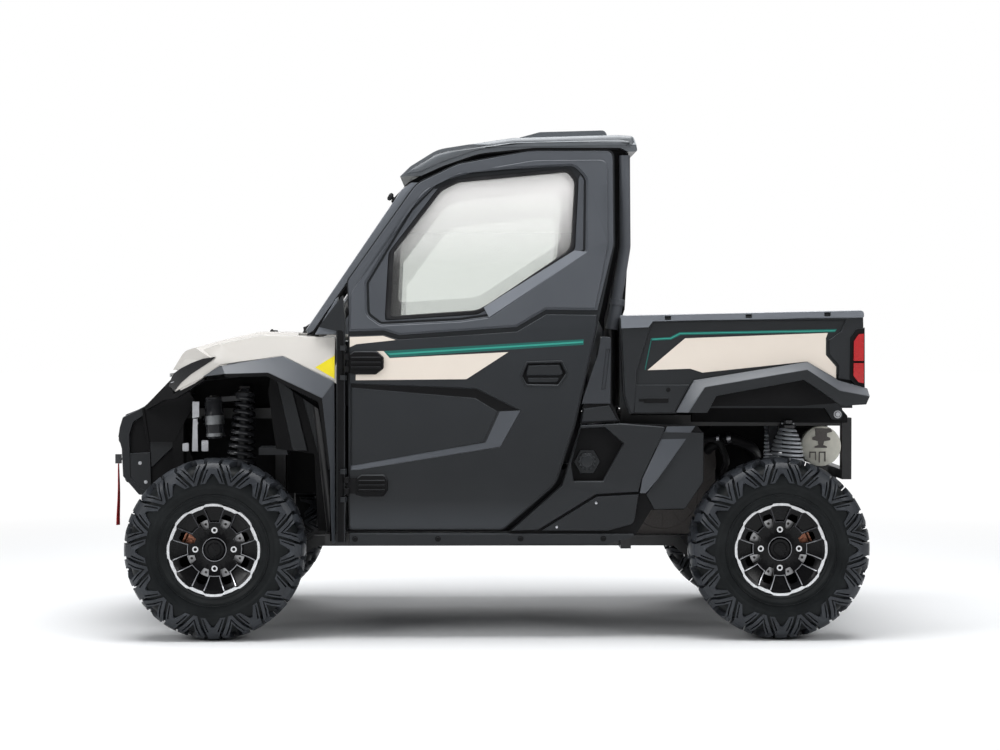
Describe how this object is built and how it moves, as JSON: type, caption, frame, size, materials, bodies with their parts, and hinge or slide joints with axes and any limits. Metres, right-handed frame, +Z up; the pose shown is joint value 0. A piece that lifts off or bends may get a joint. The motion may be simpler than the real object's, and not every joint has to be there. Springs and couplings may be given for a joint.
{
  "type": "side by side utility vehicle",
  "caption": "Enclosed-cab utility vehicle with knobbly tyres, opening doors and hood, steered front wheels, front winch and a tipping bed with a drop tailgate",
  "frame": {"origin": "on the ground at the middle of the vehicle's length and width", "axes": "front is -X, the driver's side is -Y, +Z is up"},
  "size_m": [3.223, 1.6618, 2.0971],
  "materials": {
    "body_sand": "gloss",
    "black_plastic": "satin",
    "dark_steel": "satin",
    "cast_parts": "rough",
    "drive_alloy": "cast",
    "spring_steel": "satin",
    "wheel_alloy": "gloss",
    "tyre_rubber": "matte",
    "grip_rubber": "matte",
    "seat_cover": "grained",
    "clear_glass": "polished",
    "lamp_clear": "clear",
    "lamp_red": "clear",
    "shield_metal": "satin",
    "red_webbing": "woven"
  },
  "bodies": {
    "chassis": {"rear_hub_carriers": "cast_parts", "wishbones": "dark_steel", "shocks": "spring_steel", "final_drives": "drive_alloy", "frame": "dark_steel", "cab_frame": "dark_steel", "roof": "black_plastic", "windscreen": "clear_glass", "rear_wall": "black_plastic", "rear_window": "clear_glass", "floor_tub": "black_plastic", "seats": "seat_cover", "seat_base": "black_plastic", "dashboard": "black_plastic", "front_bodywork": "body_sand", "front_flares": "black_plastic", "pillar_trims": "black_plastic", "front_fascia": "black_plastic", "headlamps": "lamp_clear", "side_panels": "black_plastic", "fuel_cap": "black_plastic", "sill_rails": "dark_steel", "front_bumper": "dark_steel", "winch": "dark_steel", "hook_strap": "red_webbing", "engine_block": "drive_alloy", "muffler": "shield_metal", "rear_bumper": "dark_steel"},
    "hood": {"hood": "body_sand"},
    "door_left": {"door_left": "black_plastic", "door_glass_left": "clear_glass"},
    "door_right": {"door_right": "black_plastic", "door_glass_right": "clear_glass"},
    "bed": {"bed_tub": "black_plastic", "bed_sides": "black_plastic", "tail_lamps": "lamp_red"},
    "tailgate": {"tailgate": "black_plastic"},
    "steering_wheel": {"steering_wheel": "grip_rubber"},
    "knuckle_left": {"knuckle_left": "cast_parts"},
    "knuckle_right": {"knuckle_right": "cast_parts"},
    "wheel_front_left": {"tyre_front_left": "tyre_rubber", "rim_front_left": "wheel_alloy"},
    "wheel_front_right": {"tyre_front_right": "tyre_rubber", "rim_front_right": "wheel_alloy"},
    "wheel_rear_left": {"tyre_rear_left": "tyre_rubber", "rim_rear_left": "wheel_alloy"},
    "wheel_rear_right": {"tyre_rear_right": "tyre_rubber", "rim_rear_right": "wheel_alloy"}
  },
  "joints": [
    {"name": "hood_hinge", "type": "hinge", "parent": "chassis", "child": "hood", "pos_m": [-0.807, 0, 1.242], "axis": [0, 1, 0], "range_deg": [0, 60]},
    {"name": "door_left_hinge", "type": "hinge", "parent": "chassis", "child": "door_left", "pos_m": [-0.548, -0.776, 0.88], "axis": [0, 0, -1], "range_deg": [0, 65]},
    {"name": "door_right_hinge", "type": "hinge", "parent": "chassis", "child": "door_right", "pos_m": [-0.548, 0.776, 0.88], "axis": [0, 0, 1], "range_deg": [0, 65]},
    {"name": "bed_tilt", "type": "hinge", "parent": "chassis", "child": "bed", "pos_m": [1.5, 0, 0.905], "axis": [0, 1, 0], "range_deg": [0, 45]},
    {"name": "tailgate_hinge", "type": "hinge", "parent": "bed", "child": "tailgate", "pos_m": [1.544, 0, 0.966], "axis": [0, 1, 0], "range_deg": [0, 90]},
    {"name": "steer_left", "type": "hinge", "parent": "chassis", "child": "knuckle_left", "pos_m": [-1.085, -0.6, 0.369], "axis": [0, 0, 1], "range_deg": [-30, 30]},
    {"name": "steer_right", "type": "hinge", "parent": "chassis", "child": "knuckle_right", "pos_m": [-1.085, 0.6, 0.369], "axis": [0, 0, 1], "range_deg": [-30, 30]},
    {"name": "steering_wheel_turn", "type": "hinge", "parent": "chassis", "child": "steering_wheel", "pos_m": [-0.25, -0.33, 1.106], "axis": [0.848, 0, 0.5299], "range_deg": [-270, 270]},
    {"name": "spin_front_left", "type": "hinge", "parent": "knuckle_left", "child": "wheel_front_left", "pos_m": [-1.085, -0.7, 0.369], "axis": [0, 1, 0], "continuous": true},
    {"name": "spin_front_right", "type": "hinge", "parent": "knuckle_right", "child": "wheel_front_right", "pos_m": [-1.085, 0.7, 0.369], "axis": [0, 1, 0], "continuous": true},
    {"name": "spin_rear_left", "type": "hinge", "parent": "chassis", "child": "wheel_rear_left", "pos_m": [1.215, -0.7, 0.369], "axis": [0, 1, 0], "continuous": true},
    {"name": "spin_rear_right", "type": "hinge", "parent": "chassis", "child": "wheel_rear_right", "pos_m": [1.215, 0.7, 0.369], "axis": [0, 1, 0], "continuous": true}
  ],
  "couplings": [
    {"joint": "steer_right", "follows": "steer_left", "ratio": 1},
    {"joint": "steering_wheel_turn", "follows": "steer_left", "ratio": 9}
  ]
}
